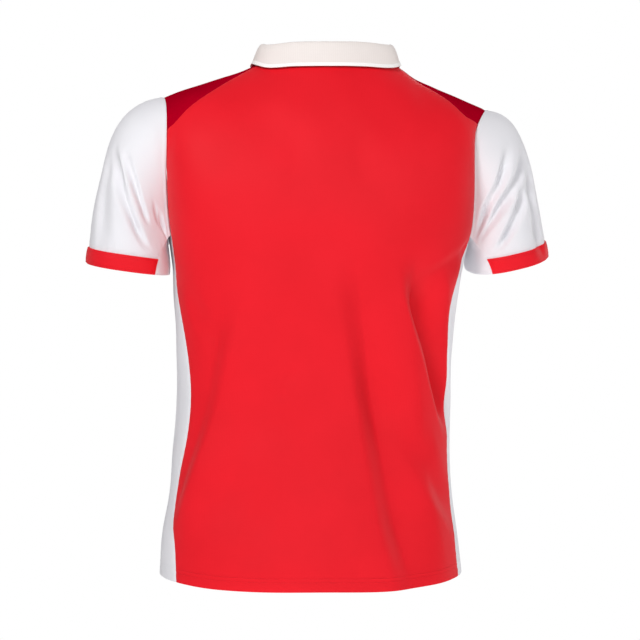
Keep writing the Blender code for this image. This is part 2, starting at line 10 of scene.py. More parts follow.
import bpy
import numpy as np
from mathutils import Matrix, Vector


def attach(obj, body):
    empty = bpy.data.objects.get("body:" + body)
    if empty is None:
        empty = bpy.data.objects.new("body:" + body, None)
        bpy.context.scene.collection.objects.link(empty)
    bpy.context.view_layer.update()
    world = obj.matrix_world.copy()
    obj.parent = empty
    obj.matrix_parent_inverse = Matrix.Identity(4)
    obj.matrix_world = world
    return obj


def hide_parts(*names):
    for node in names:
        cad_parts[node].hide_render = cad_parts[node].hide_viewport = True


bl_info = {
    "name": "Football jersey",
    "version": (1, 0, 0),
    "blender": (4, 5, 0),
    "location": "3D View > Sidebar > Jersey",
    "description": "Makes a football jersey with a folded collar, filled out as if worn",
    "category": "Object",
}

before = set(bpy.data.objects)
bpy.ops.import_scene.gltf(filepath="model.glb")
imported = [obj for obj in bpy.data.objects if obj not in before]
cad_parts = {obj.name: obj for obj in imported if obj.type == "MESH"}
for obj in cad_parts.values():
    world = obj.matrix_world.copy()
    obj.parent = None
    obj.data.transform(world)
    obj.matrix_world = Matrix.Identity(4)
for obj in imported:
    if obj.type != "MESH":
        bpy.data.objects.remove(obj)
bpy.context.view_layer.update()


def table(columns, *rows):
    """Rows of values whose columns have names."""
    row = namedtuple("Row", columns)
    return [row(*values) for values in rows]


HANDS = {"left": 1, "right": -1}
FACES = {1: "back", -1: "front"}
GRIDS = {}  # the grids of the cloth pieces, for the sewing that lies on them

# The form that the solids have
HEM_HEIGHT = -0.7
HEM_FADE = -0.56
ARMPIT_HEIGHT = -0.23
SHOULDER_REACH = 0.224
NECK_SHARE = 0.318
BACK_NECK_DROP = 0.30
FRONT_NECK_DROP = 0.62
COLLAR_LIFT = 0.0040
COLLAR_FOLD = 0.0038
COLLAR_LEAN = 0.004
COLLAR_END = 0.006
COLLAR_CREST = 0.002
COLLAR_SQUARE, COLLAR_TURN = 0.05, 0.5  # how far it stands square to the front, and how soon upright
COLLAR_CALM = 0.15  # the part beside the V over which it starts to lean
NECK_MIDDLE = (0, 0.012, 0)
CUFF_WIDTH = 0.022
CUFF_RADIUS = 0.0562
CUFF_DEPTH_RADIUS = 0.0620
CUFF_SQUARE = 2.4
COLUMN_SPREAD = 70.0
CLIMB = 1.45
STEP = 0.002  # how far apart two places are taken to find a slope
SLEEVE_GIRTH = 0.45
SLEEVE_LENGTH = 0.22
TOP_SHARE = 0.36
TOP_ANGLE = 126.0
FRONT_PART = 0.54
SHOULDER_PART = 0.08
BODY_ARC = 0.16  # cloth to one radian of turn, for the reach of the folds
FOLD_BLEND = 0.012  # the cloth over which the reach changes from one side of a fold to the other
FOLD_RISE, FOLD_FALL = 0.35, 0.25  # the shares of a fold over which it deepens and fades out
SLEEVE_CALM = 0.15  # the share of the sleeve over which its folds begin
CORNER_DROP = 0.05  # how far below the ridge the neckline has its corners

# Sections of the body below the armpits; square is 2 for an ellipse and more for a squarer oblong
TORSO = table(
    "height centre_x half_width back_depth front_depth square",
    (-0.7, 0.021, 0.2075, 0.122, 0.112, 2.35),
    (-0.663, 0.0215, 0.2055, 0.12, 0.111, 2.35),
    (-0.594, 0.0212, 0.196, 0.112, 0.109, 2.35),
    (-0.525, 0.0197, 0.1903, 0.106, 0.108, 2.35),
    (-0.456, 0.0169, 0.1886, 0.102, 0.109, 2.4),
    (-0.387, 0.0158, 0.1903, 0.104, 0.113, 2.5),
    (-0.318, 0.0142, 0.194, 0.111, 0.119, 2.75),
    (-0.275, 0.0115, 0.1975, 0.115, 0.122, 3),
    (-0.23, 0.0101, 0.2056, 0.118, 0.124, 3.25),
)

# How far the hem lifts off its height round the body, which fades out upwards
HEM = table(
    "turn lift",
    (-180, 0.001), (-150, 0.001), (-115, 0.005), (-90, 0.009), (-62, 0.005),
    (-45, 0), (-25, -0.0038), (0, -0.002), (25, -0.0008), (40, 0.0012),
    (61, 0.0065), (90, 0.01), (115, 0.006), (150, 0.001), (180, 0.001),
)

# The seams of the side panels, as angles round the body from the middle of the back
SIDE_SEAMS = table(
    "height back_left back_right front_left front_right",
    (-0.7, 61, 66.5, 116, 116), (-0.66, 63, 65.5, 115, 116), (-0.61, 69.5, 69.5, 114, 115),
    (-0.56, 69, 68, 113, 115), (-0.5, 63.5, 68.5, 113, 115), (-0.44, 61.5, 69.5, 114, 116),
    (-0.385, 64, 62.5, 115.5, 118.5), (-0.33, 70.5, 57.8, 117.5, 120.5), (-0.285, 79.5, 61, 119.5, 120.5),
    (-0.23, 76.5, 71.5, 122, 122),
)

# The ridge of the shoulders from right to left. In the middle it is only the dome that the neckline cuts
RIDGE = table(
    "reach height",
    (-0.224, -0.0535), (-0.178, -0.0335), (-0.149, -0.0233), (-0.12, -0.0107), (-0.104, 0.001),
    (-0.09, 0.009), (-0.05, 0.028), (0, 0.036), (0.05, 0.026), (0.09, 0.006),
    (0.112, -0.004), (0.148, -0.017), (0.193, -0.0327), (0.224, -0.044),
)

# How the cloth rolls over the shoulders: over is the reach of the roll, swell the extra fullness half way
# up, draw how far it is drawn towards +X there, and flare how its columns lean sideways on the ridge
UPPER = table(
    "across over_back over_front swell_back swell_front draw flare",
    (-1, 0.1, 0.1, 0.028, 0.024, 0.022, 0),
    (-0.85, 0.125, 0.122, 0.02, 0.018, 0.011, -0.004),
    (-0.7, 0.145, 0.14, 0.014, 0.012, 0.005, -0.004),
    (-0.35, 0.165, 0.14, 0.003, 0.003, 0, -0.002),
    (0, 0.175, 0.13, 0, 0, 0, 0),
    (0.35, 0.165, 0.14, 0.003, 0.003, 0, 0.002),
    (0.7, 0.145, 0.14, 0.014, 0.012, 0, 0.01),
    (0.85, 0.125, 0.122, 0.02, 0.018, 0, 0.018),
    (1, 0.1, 0.1, 0.028, 0.024, 0, 0.024),
)

# The lower edges of the dark shoulder panels, as dips below the ridge, from right to left
SHOULDER_SEAMS = table(
    "across dip_back dip_front",
    (-1, 0.32, 0.24), (-0.85, 0.34, 0.22), (-0.72, 0.34, 0.18), (-0.58, 0.22, 0.14),
    (-0.45, 0.13, 0.09), (-0.32, 0.05, 0.05), (0.32, 0.05, 0.05), (0.45, 0.15, 0.09),
    (0.58, 0.25, 0.14), (0.72, 0.34, 0.18), (0.85, 0.42, 0.22), (1, 0.45, 0.24),
)

# The neck seam on each hand, from the V (0) to the spine (1): how tall the collar stands, and how much
# further out across and down the front or back its folded leaf ends
COLLAR = table(
    "place stand widen lower",
    (0, 0.014, 0.15, 0.09), (0.12, 0.015, 0.135, 0.125), (0.3, 0.019, 0.09, 0.11),
    (0.48, 0.024, 0.054, 0.05), (0.58, 0.0255, 0.043, 0), (0.68, 0.0265, 0.037, 0.032),
    (0.84, 0.027, 0.018, 0.045), (1, 0.027, 0, 0.048),
)

# The sleeves: centre of the cuff ring, and the way the sleeve runs there
Sleeve = namedtuple("Sleeve", "cuff run")
SLEEVES = {
    "left": Sleeve((0.2708, -0.004, -0.2758), (0.13, -0.11, -0.985)),
    "right": Sleeve((-0.2548, -0.004, -0.2652), (-0.225, -0.2, -0.954)),
}

# The way the sleeve leaves the armhole, from the shoulder (0) to the armpit (0.5); reach and arrive
# are how far it runs on so at either end, in shares of its length
LEAVES = table(
    "round out back down reach arrive",
    (0, 1, 0, -0.07, 0.85, 1.85), (0.18, 0.86, 0.06, -0.38, 0.92, 1.6),
    (0.36, 0.46, 0.1, -0.86, 0.9, 1.2), (0.5, 0.16, 0, -0.98, 0.85, 1),
)

# The folds, each from a start (a) over a middle (b) to an end (c), with the reach of its walls on the left
# and the right of that line, seen from outside on the way from a to c. One with a depth below nought is a
# ridge. On the body, round is the angle round it and level the height
FOLD = "round_a level_a round_b level_b round_c level_c left right depth"
BODY_FOLDS = table(
    FOLD,
    (27, -0.25, 44.5, -0.485, 68, -0.64, 0.052, 0.026, -0.009),
    (-8.8, -0.235, -24.1, -0.48, -38.9, -0.745, 0.056, 0.03, 0.015),
    (-30.5, -0.237, -47.8, -0.375, -70, -0.505, 0.04, 0.026, 0.0245),
    (-37, -0.48, -51, -0.56, -72, -0.635, 0.034, 0.026, 0.005),
    (150, -0.27, 144, -0.43, 128, -0.65, 0.026, 0.04, 0.007),
    (-152, -0.26, -147, -0.4, -133, -0.57, 0.034, 0.024, 0.0065),
    (172, -0.32, 176, -0.48, 186, -0.67, 0.044, 0.026, 0.006),
    # Smaller creases, which the solids leave out
    (-70, -0.236, -54, -0.262, -38, -0.3, 0.034, 0.018, 0.0045),
    (10, -0.07, 12.5, -0.13, 12, -0.2, 0.024, 0.018, 0.001),
    (-8, -0.08, -9.5, -0.12, -12, -0.18, 0.02, 0.016, 0.001),
    (10, -0.405, 15, -0.425, 19, -0.46, 0.016, 0.014, 0.0012),
    (19, -0.56, 25, -0.62, 27, -0.68, 0.022, 0.018, 0.0014),
    (58, -0.29, 52, -0.34, 40, -0.38, 0.022, 0.022, 0.0018),
    (160, -0.56, 152, -0.62, 148, -0.69, 0.026, 0.03, 0.0022),
    (-168, -0.44, -161, -0.54, -157, -0.64, 0.03, 0.024, 0.0025),
    (126, -0.27, 133, -0.33, 146, -0.37, 0.02, 0.02, 0.0025),
    (-124, -0.28, -132, -0.33, -143, -0.36, 0.02, 0.02, 0.0024),
    (88, -0.3, 92, -0.42, 84, -0.54, 0.03, 0.026, 0.003),
    (-92, -0.27, -88, -0.33, -96, -0.43, 0.026, 0.03, 0.0028),
    (97, -0.52, 91, -0.6, 94, -0.69, 0.026, 0.026, 0.0024),
    (-96, -0.52, -98, -0.59, -92, -0.68, 0.026, 0.026, 0.0024),
)

# On the sleeves, round is the place on the armhole loop and level runs from the armhole (0) to the hem (1)
SLEEVE_FOLDS = {
    "left": table(
        FOLD,
        (0.06, 0.5, 0.165, 0.58, 0.33, 0.72, 0.018, 0.018, 0.0085),
        (0.12, 0.42, 0.208, 0.44, 0.295, 0.48, 0.016, 0.014, 0.007),
        (0.28, 0.31, 0.315, 0.22, 0.345, 0.12, 0.014, 0.014, 0.0045),
        (0.045, 0.5, 0.1, 0.72, 0.14, 0.98, 0.03, 0.02, 0.005),
        (0.9, 0.25, 0.8, 0.5, 0.67, 0.6, 0.026, 0.022, 0.006),
        (0.87, 0.42, 0.79, 0.66, 0.69, 0.84, 0.022, 0.02, 0.0045),
        (0.7, 0.12, 0.74, 0.26, 0.8, 0.34, 0.018, 0.018, 0.0035),
    ),
    "right": table(
        FOLD,
        (0.11, 0.26, 0.222, 0.345, 0.345, 0.12, 0.017, 0.017, 0.0095),
        (0.055, 0.38, 0.175, 0.515, 0.35, 0.27, 0.017, 0.017, 0.011),
        (0.11, 0.57, 0.2, 0.66, 0.335, 0.68, 0.017, 0.017, 0.01),
        (0.07, 0.48, 0.108, 0.7, 0.15, 1.02, 0.014, 0.02, 0.008),
        (0.91, 0.28, 0.8, 0.5, 0.67, 0.56, 0.026, 0.022, 0.006),
        (0.88, 0.48, 0.79, 0.68, 0.69, 0.78, 0.022, 0.02, 0.0045),
        (0.71, 0.1, 0.75, 0.24, 0.81, 0.3, 0.018, 0.018, 0.0035),
    ),
}

# Slow waves that keep the cloth from being quite smooth: turn and rise are waves to the metre
SLOW_WAVES = table(
    "turn rise start height",
    (6.1, 3.7, 0.4, 0.0005), (-4.3, 7.9, 1.9, 0.0004), (11.7, -5.2, 3.1, 0.0003), (3.1, 13.3, 5, 0.0002),
)

# The sewing: how far its rows lie from the edges, and the dip of the cloth under a row
HEM_ROWS_APART = 0.005
CUFF_INSET = 0.0035
COLLAR_INSET = 0.0055
ROW_DIP_WIDTH = 0.0012
HEM_DIP = 0.0004
HEM_STEP = 0.0003
CUFF_DIP = 0.0007
COLLAR_DIP = 0.0005
COLLAR_STEP = 0.0003
CALM_REACH = 0.03  # how far from a seam the slow waves die down
ARMHOLE_CALM = 0.02  # and how far from the armhole all relief does
ALLOWANCE = 0.0055  # the width of the seam allowance under the sleeve's edge
STRIP_BLUR = 0.0003  # the light strip of the collar fades out this far on either side of its sewing
BAND = 0.314  # the width of one band of a wave texture at scale 1

# How a cloth or thread is made: how it takes the light, the width (wale) and height (course) of its loops,
# and how far they stand out (relief)
Make = namedtuple("Make", "roughness gloss sheen wale course relief")
SMOOTH_KNIT = Make(0.62, 0.2, 0.04, 0.0022, 0.0018, 0.00005)  # fine and nearly matt, with a faint bloom
MATT_KNIT = Make(0.7, 0, 0, 0.0022, 0.0018, 0.00005)  # as fine but quite matt, so that it stays deep
RIB_KNIT = Make(0.75, 0.2, 0.06, 0.003, 0.002, 0.00012)  # soft upright ribs with a faint bloom
SPUN_THREAD = Make(0.5, 0.2, 0, 0.0006, 0.0006, 0.00002)  # a little glossier than the cloth it holds

# Each finish is named for what it is. The cloth varies softly between its colour and its shade, a darker
# tone that is painted shade in the hollows between its loops and, over a slow random cloud, an uneven dye
Finish = namedtuple("Finish", "name slot colour shade make")
FINISHES = {
    "red_knit": Finish("red knitted polyester", "red_knit", "e80f22", "df0b1d", SMOOTH_KNIT),
    "dark_red_knit": Finish("dark red knitted polyester", "dark_red_knit", "b6001f", "98001a", MATT_KNIT),
    "white_knit": Finish("white knitted polyester", "white_knit", "eae9ed", "e2e1e6", SMOOTH_KNIT),
    "cream_rib": Finish("cream ribbed collar knit", "cream_rib", "eee6e2", "e6ddd9", RIB_KNIT),
    "red_thread": Finish("red polyester thread", "red_knit", "e9222f", "c81020", SPUN_THREAD),
    "white_thread": Finish("white polyester thread", "white_knit", "f4f4f4", "e8e8ea", SPUN_THREAD),
    "cream_thread": Finish("cream polyester thread", "cream_rib", "f0ebe5", "e6dfd8", SPUN_THREAD),
}
STRIP_COLOUR = "f8f6f4"  # the light strip along the collar's edge

# The studio. The camera looks at the back from a little to the wearer's left, level with its middle
CAMERA_TARGET = (0.00818, -0.00115, -0.346)
CAMERA_TURN = 172.0
CAMERA_DISTANCE = 2.4
CAMERA_LENS = 98.04
FLOOR_HEIGHT = -1.4
FLOOR_REACH = 3.0
WORLD_LIGHT = 0.50
SKY_LIGHT = 0.20  # the same from straight above
LAMPS = table(
    "name x y z size power",
    ("key", 1.5, 2, 1.3, 1, 42),
    ("fill", -0.7, 2.9, 0.7, 2, 27),
    ("edge", -2.8, -0.9, 0.2, 1.6, 22),
    ("under", 0, 0.1, -1.35, 0.8, 9),
    ("front", -0.6, -2.8, 0.9, 2, 30),
)


def arch(t):
    """The four weights of a cubic that has its place and its slope given at both ends."""
    return 2 * t**3 - 3 * t**2 + 1, t**3 - 2 * t**2 + t, -2 * t**3 + 3 * t**2, t**3 - t**2


def ease(t):
    """From 0 to 1 with no corner at either end."""
    return arch(np.clip(t, 0, 1))[2]


def follow(rows, column, place):
    """One column of a table, on a smooth curve through its rows, which runs on straight past its ends."""
    knots = np.array([row[0] for row in rows])
    values = np.array([getattr(row, column) for row in rows])
    slopes = np.gradient(values, knots)
    past = slopes[-1] * np.maximum(place - knots[-1], 0) + slopes[0] * np.minimum(place - knots[0], 0)
    place = np.clip(place, knots[0], knots[-1])
    low = np.clip(np.searchsorted(knots, place, side="right") - 1, 0, len(rows) - 2)
    gap = knots[low + 1] - knots[low]
    start, leave, end, arrive = arch((place - knots[low]) / gap)
    inside = values[low] * start + slopes[low] * gap * leave
    return past + inside + values[low + 1] * end + slopes[low + 1] * gap * arrive


def vector(x, y, z):
    return np.stack(np.broadcast_arrays(x, y, z), axis=-1).astype(float)


def as_grid(first, second):
    return np.broadcast_arrays(np.asarray(first, float), np.asarray(second, float))


def unit(rows):
    return rows / np.maximum(np.linalg.norm(rows, axis=-1, keepdims=True), 1e-9)


def press(fold, near, level, width, height):
    """How deep a fold is at a place: a trough along a bent line, which fades out at both of its ends.

    near is the way round from the fold's middle, and width and height turn it and the level into metres.
    The line is the curve through the fold's three places, as twelve straight pieces, and each place is
    measured from the nearest. Each wall eases up to the plain cloth, and the depth wanders.
    """
    t = np.linspace(0, 1, 13)
    weights = (1 - t) * (1 - 2 * t), 4 * t * (1 - t), t * (2 * t - 1)
    first, second = near * width, level * height
    start, end = fold.round_a - fold.round_b, fold.round_c - fold.round_b
    line1 = width * (start * weights[0] + end * weights[2])
    line2 = height * (fold.level_a * weights[0] + fold.level_b * weights[1] + fold.level_c * weights[2])
    reach = max(fold.left, fold.right)
    close = (first > line1.min() - reach) & (first < line1.max() + reach)
    close &= (second > line2.min() - reach) & (second < line2.max() + reach)
    run1, run2 = np.diff(line1), np.diff(line2)
    off1, off2 = first[close][:, None] - line1[:-1], second[close][:, None] - line2[:-1]
    share = np.clip((off1 * run1 + off2 * run2) / (run1**2 + run2**2), 0, 1)
    away1, away2 = off1 - share * run1, off2 - share * run2
    nearest = np.arange(len(off1)), np.argmin(away1**2 + away2**2, axis=-1)
    away1, away2, share, piece = away1[nearest], away2[nearest], share[nearest], nearest[1]
    to_right = (run1[piece] * away2 - run2[piece] * away1) / np.hypot(run1, run2)[piece]
    width = fold.left + (fold.right - fold.left) * ease(to_right / FOLD_BLEND + 0.5)
    along = (piece + share) / len(run1)
    wall = 1 - ease(np.hypot(away1, away2) / width)
    depth = np.zeros(close.shape)
    uneven = 1 + 0.18 * np.sin(15 * along + 900 * fold.depth)
    depth[close] = fold.depth * uneven * wall * ease(along / FOLD_RISE) * ease((1 - along) / FOLD_FALL)
    return depth


def crease(points, turn):
    """The body with its folds pressed in, straight towards its upright middle line."""
    turn = np.where(turn > 180, turn - 360, turn)
    inwards = 0 * turn
    for fold in BODY_FOLDS:
        near = (turn - fold.round_b + 180) % 360 - 180
        inwards = inwards + press(fold, near, points[..., 2], math.radians(BODY_ARC), 1)
    turn = np.radians(turn)
    return points - inwards[..., None] * vector(np.sin(turn), np.cos(turn), 0)


def torso(turn, height):
    """The body below the armpits, a rounded oblong at each height; turn 0 is the middle of the back."""
    across, along = np.sin(np.radians(turn)), np.cos(np.radians(turn))
    square = follow(TORSO, "square", height)
    rounding = (np.abs(across) ** square + np.abs(along) ** square) ** (-1 / square)
    depth = np.where(along > 0, follow(TORSO, "back_depth", height), follow(TORSO, "front_depth", height))
    x = follow(TORSO, "centre_x", height) + follow(TORSO, "half_width", height) * across * rounding
    lift = follow(HEM, "lift", (turn + 180) % 360 - 180)
    lift = lift * ease((HEM_FADE - height) / (HEM_FADE - HEM_HEIGHT))
    return vector(x, depth * along * rounding, height + lift)


def panel_turn(across, height, face):
    """Where a column of the back (face 1) or front (face -1) stands: -1 is its right seam, 1 its left."""
    left, right = (follow(SIDE_SEAMS, f"{FACES[face]}_{hand}", height) for hand in HANDS)
    if face < 0:
        left, right = 180 - left, 180 - right
    turn = (left + right) / 2 * across + (left - right) / 2 * across**2
    return turn if face > 0 else 180 - turn


def body(across, up, face):
    """The whole back or front. up is 0 at the hem, 1 at the armpits and 2 on the ridge of the shoulders.

    Up to the armpits it is the torso. From there each column is a cubic that leaves the torso straight on
    and arrives level on the ridge, fuller half way by its swell.
    """
    across, up = as_grid(across, up)
    height = HEM_HEIGHT + (ARMPIT_HEIGHT - HEM_HEIGHT) * np.minimum(up, 1)
    lower = torso(panel_turn(across, height, face), height)
    foot_turn = panel_turn(across, ARMPIT_HEIGHT, face)
    foot = torso(foot_turn, ARMPIT_HEIGHT)
    slope = (foot - torso(foot_turn, ARMPIT_HEIGHT - STEP)) / STEP
    spread = math.radians(COLUMN_SPREAD)
    reach = SHOULDER_REACH * np.sin(spread * across) / math.sin(spread)
    top = vector(reach, 0, follow(RIDGE, "height", reach))
    over = vector(follow(UPPER, "flare", across), -face * follow(UPPER, f"over_{FACES[face]}", across), 0)
    swell = vector(follow(UPPER, "draw", across), face * follow(UPPER, f"swell_{FACES[face]}", across), 0)
    rise = np.clip(up - 1, 0, 1)[..., None]
    start, leave, end, arrive = arch(rise)
    climb = slope * CLIMB * (top[..., 2:] - ARMPIT_HEIGHT)
    upper = foot * start + climb * leave + top * end + over * arrive
    upper = upper + swell * 16 * rise**2 * (1 - rise) ** 2
    return crease(np.where(rise > 0, upper, lower), panel_turn(across, height, face))


def shoulder_top(across, face):
    """Where the shoulder panel's seam runs, in steps of up."""
    return 2 - follow(SHOULDER_SEAMS, f"dip_{FACES[face]}", across)


def neckline(across, face):
    """Where the neck seam runs: a shallow bow at the back, a rounded V at the front."""
    share = np.clip(np.abs(across) / NECK_SHARE, 0, 1)
    corner = shoulder_top(NECK_SHARE * np.sign(across + 1e-9), face)
    if face > 0:
        return corner - (BACK_NECK_DROP - CORNER_DROP) * np.sqrt(np.maximum(1 - share**2, 0))
    return corner - (FRONT_NECK_DROP - CORNER_DROP) * (1 - share**1.6)


def side(hand, across, height):
    """The side panel, from its seam with the back (0) to its seam with the front (1)."""
    back, front = panel_turn(hand, height, 1), panel_turn(hand, height, -1)
    front = front if hand > 0 else front - 360
    turn, height = as_grid(back + (front - back) * across, height)
    return crease(torso(turn, height), turn)


def armhole(hand, loop):
    """The sleeve seam: down the back from the shoulder (0), under the arm (0.5) and up the front (1)."""
    back = body(hand, 2 - np.clip(loop / TOP_SHARE, 0, 1), 1)
    front = body(hand, 2 - np.clip((1 - loop) / TOP_SHARE, 0, 1), -1)
    share = np.clip((loop - TOP_SHARE) / (1 - 2 * TOP_SHARE), 0, 1)
    under = side(hand, share, ARMPIT_HEIGHT)
    loop = loop[..., None]
    return np.where(loop < TOP_SHARE, back, np.where(loop > 1 - TOP_SHARE, front, under))


def sleeve(name, loop, along):
    """The sleeve from the armhole (0) to its hem (1), with the folds pressed in towards its middle line.

    Each line along it is a cubic that leaves the armhole the way its place there says, and reaches the cuff
    ring the way the sleeve runs.
    """
    loop, along = as_grid(loop % 1, along)
    hand = HANDS[name]
    half = np.where(loop > 0.5, 1 - loop, loop)
    face = np.where(loop > 0.5, -1, 1)
    start = armhole(hand, loop)
    step = np.radians(np.interp(half, (0, TOP_SHARE, 0.5), (0, TOP_ANGLE, 180)))
    run = unit(np.array(SLEEVES[name].run))
    outward = unit(vector(-run[2] * hand, 0, run[0] * hand))
    behind = np.cross(outward, run) * hand
    across, deep = np.cos(step), np.sin(step)
    rounding = (np.abs(across) ** CUFF_SQUARE + np.abs(deep) ** CUFF_SQUARE) ** (-1 / CUFF_SQUARE)
    spoke = outward * (across * rounding)[..., None] * CUFF_RADIUS
    spoke = spoke + behind * (face * deep * rounding)[..., None] * CUFF_DEPTH_RADIUS
    end = SLEEVES[name].cuff + spoke
    away = [follow(LEAVES, column, half) for column in ("out", "back", "down")]
    leave = unit(vector(away[0] * hand, away[1] * face, away[2]))
    length = np.linalg.norm(end - start, axis=-1, keepdims=True)
    weights = arch(along[..., None])
    reach, arrive = (follow(LEAVES, column, half)[..., None] for column in ("reach", "arrive"))
    points = start * weights[0] + leave * length * reach * weights[1]
    points = points + end * weights[2] + run * length * arrive * weights[3]
    inwards = 0 * along
    for fold in SLEEVE_FOLDS[name]:
        near = (loop - fold.round_b + 0.5) % 1 - 0.5
        inwards = inwards + press(fold, near, along, hand * SLEEVE_GIRTH, SLEEVE_LENGTH)
    inwards = inwards * ease(along / SLEEVE_CALM)
    return points - inwards[..., None] * unit(spoke)


def cuff_start(name, loop):
    """Where the cuff's upper seam crosses the sleeve, so that the band has one width all round."""
    along = np.full(loop.shape, 0.9)
    for _ in range(6):
        band = sleeve(name, loop, 1.0) - sleeve(name, loop, along)
        along = 1 - (1 - along) * CUFF_WIDTH / np.linalg.norm(band, axis=-1)
    return along


def neck_place(place):
    """Where the neck seam crosses the panels, from the V (0) to the spine (1): across, up and face."""
    corner = 1 - FRONT_PART - SHOULDER_PART
    front = NECK_SHARE * np.clip(place / FRONT_PART, 0, 1)
    back = NECK_SHARE * np.clip((1 - place) / corner, 0, 1)
    over = np.clip((place - FRONT_PART) / SHOULDER_PART, 0, 1) * 2 - 1
    dip = np.where(over < 0, shoulder_top(NECK_SHARE, -1), shoulder_top(NECK_SHARE, 1))
    up = np.where(place < FRONT_PART, neckline(front, -1), 2 - (2 - dip) * np.abs(over))
    up = np.where(place > 1 - corner, neckline(back, 1), up)
    across = np.where(place < FRONT_PART, front, back)
    return across, up, np.where(over < 0, -1, 1)


def on_body(across, up, face):
    """A place on the back (face 1) or the front (face -1), whichever each entry of face says."""
    return np.where(face[..., None] > 0, body(across, up, 1), body(across, up, -1))


def body_facing(across, up, face):
    """The way the cloth faces at such a place."""
    sideways = on_body(across + STEP, up, face) - on_body(across - STEP, up, face)
    upwards = on_body(across, up - STEP, face) - on_body(across, up - 2 * STEP, face)
    return unit(np.cross(sideways, upwards)) * -face[..., None]


def neck_seam(hand, place):
    across, up, face = neck_place(place)
    return on_body(hand * across, up, face)


def collar(hand, place, fold):
    """One half of the collar: from the neck seam (0) up the stand, over the fold (1) and down the leaf (2).

    At the back it stands upright, and towards the V it comes to stand square to the front. Stand and leaf
    are cubics that share their direction at the fold. The leaf ends on a place on the body, lifted off it.
    """
    place, fold = as_grid(place, fold)
    across, up, face = neck_place(place)
    seam = neck_seam(hand, place)
    square = body_facing(hand * across, up, face)
    seam_run = neck_seam(hand, place + STEP) - neck_seam(hand, place - STEP)
    flat = arch(np.clip((place - COLLAR_SQUARE) / COLLAR_TURN, 0, 1))[0][..., None]
    level = unit((seam - NECK_MIDDLE) * (1, 1, 0))
    away = unit(unit(hand * np.cross(seam_run, square)) * flat + level * (1 - flat))
    lift = unit(square * flat + (1 - flat) * (0, 0, 1))
    stand = follow(COLLAR, "stand", place)[..., None]
    edge_across = hand * (across + follow(COLLAR, "widen", place))
    edge_up = up - follow(COLLAR, "lower", place)
    edge = on_body(edge_across, edge_up, face) + body_facing(edge_across, edge_up, face) * COLLAR_LIFT
    inwards = away * np.clip(place / COLLAR_CALM, 0, 1)[..., None]
    crest = seam + lift * stand - inwards * COLLAR_CREST
    fall = edge - crest
    sideways = fall - np.sum(fall * away, axis=-1, keepdims=True) * away
    sideways = np.linalg.norm(sideways, axis=-1, keepdims=True)
    bend = away * np.sqrt(4 * COLLAR_FOLD * stand)
    turn = away * np.sqrt(4 * COLLAR_FOLD * sideways)
    first = arch(np.clip(fold, 0, 1)[..., None])
    rising = lift * stand - inwards * COLLAR_LEAN * stand / 0.030
    stand_part = seam * first[0] + rising * first[1] + crest * first[2] + bend * first[3]
    second = arch(np.clip(fold - 1, 0, 1)[..., None])
    leaf_part = crest * second[0] + turn * second[1] + edge * second[2] + fall * second[3]
    return np.where(fold[..., None] < 1, stand_part, leaf_part)


def linear(text):
    """A hex colour as Blender's linear numbers."""
    values = [int(text[i:i + 2], 16) / 255 for i in (0, 2, 4)]
    return tuple(v / 12.92 if v <= 0.04045 else ((v + 0.055) / 1.055) ** 2.4 for v in values)


def add(tree, kind, inputs=None, **settings):
    """The outputs of a new shader node with its settings, and with its inputs set or linked."""
    node = tree.nodes.new("ShaderNode" + kind)
    for key, value in settings.items():
        setattr(node, key, value)
    for key, value in (inputs or {}).items():
        if isinstance(value, bpy.types.NodeSocket):
            tree.links.new(value, node.inputs[key])
        else:
            node.inputs[key].default_value = value
    return node.outputs


def knit(slot):
    """A knitted cloth or a thread, with its loops on the cloth's own map, which is in metres.

    The loops of the real knit are 0.6 mm, and are drawn about three times as coarse so that they show. The
    cloud is a slow change of the dye over some 90 mm. The colour runs to the finish's shade in the hollows
    between the loops, which is painted shade, and where the cloud is low, which is uneven dye.
    """
    finish = FINISHES[slot]
    material = bpy.data.materials.get(finish.name)
    if material:
        return material
    make = finish.make
    material = bpy.data.materials.new(finish.name)
    material.use_nodes = True
    tree = material.node_tree
    tree.nodes.clear()
    spot = add(tree, "UVMap", uv_map="cloth")["UV"]
    place = add(tree, "TexCoord")["Object"]
    wales, courses = (
        add(tree, "TexWave", {"Vector": spot, "Scale": BAND / width}, bands_direction=way)["Fac"]
        for way, width in (("X", make.wale), ("Y", make.course))
    )
    loops = add(tree, "Math", {0: wales, 1: courses}, operation="MULTIPLY")[0]
    fuzz = add(tree, "TexNoise", {"Vector": spot, "Scale": 900, "Detail": 2})["Fac"]
    height = add(tree, "Math", {0: loops, 1: fuzz}, operation="ADD")[0]
    bump = add(tree, "Bump", {"Height": height, "Strength": 0.7, "Distance": make.relief})[0]
    cloud = add(tree, "TexNoise", {"Vector": place, "Scale": 11, "Detail": 3})["Fac"]
    # painted shade: the colour is darker where the loops sink, as the bump is, and the cloud adds uneven
    # dye
    light = add(tree, "Math", {0: loops, 1: 0.35, 2: cloud}, operation="MULTIPLY_ADD")[0]
    share = add(tree, "MapRange", {"Value": light, "From Min": 0.35, "From Max": 0.95})[0]
    dark = (*linear(finish.shade), 1)
    bright = (*getattr(bpy.context.scene.jersey_colours, finish.slot), 1)
    colour = add(tree, "Mix", {0: share, 6: dark, 7: bright}, data_type="RGBA")[2]
    if slot == "cream_rib":
        far = add(tree, "SeparateXYZ", {"Vector": spot})["Y"]
        low, high = COLLAR_INSET - STRIP_BLUR, COLLAR_INSET + STRIP_BLUR
        ends = {"Value": far, "From Min": low, "From Max": high, "To Min": 1, "To Max": 0}
        strip = add(tree, "MapRange", ends)[0]
        light = (*linear(STRIP_COLOUR), 1)
        colour = add(tree, "Mix", {0: strip, 6: colour, 7: light}, data_type="RGBA")[2]
    skin = {
        "Base Color": colour, "Roughness": make.roughness, "Metallic": 0, "Normal": bump,
        "Sheen Weight": make.sheen, "Sheen Roughness": 0.5, "Specular IOR Level": make.gloss,
    }
    add(tree, "OutputMaterial", {"Surface": add(tree, "BsdfPrincipled", skin)[0]})
    return material


def sizes():
    return bpy.context.scene.jersey_sizes


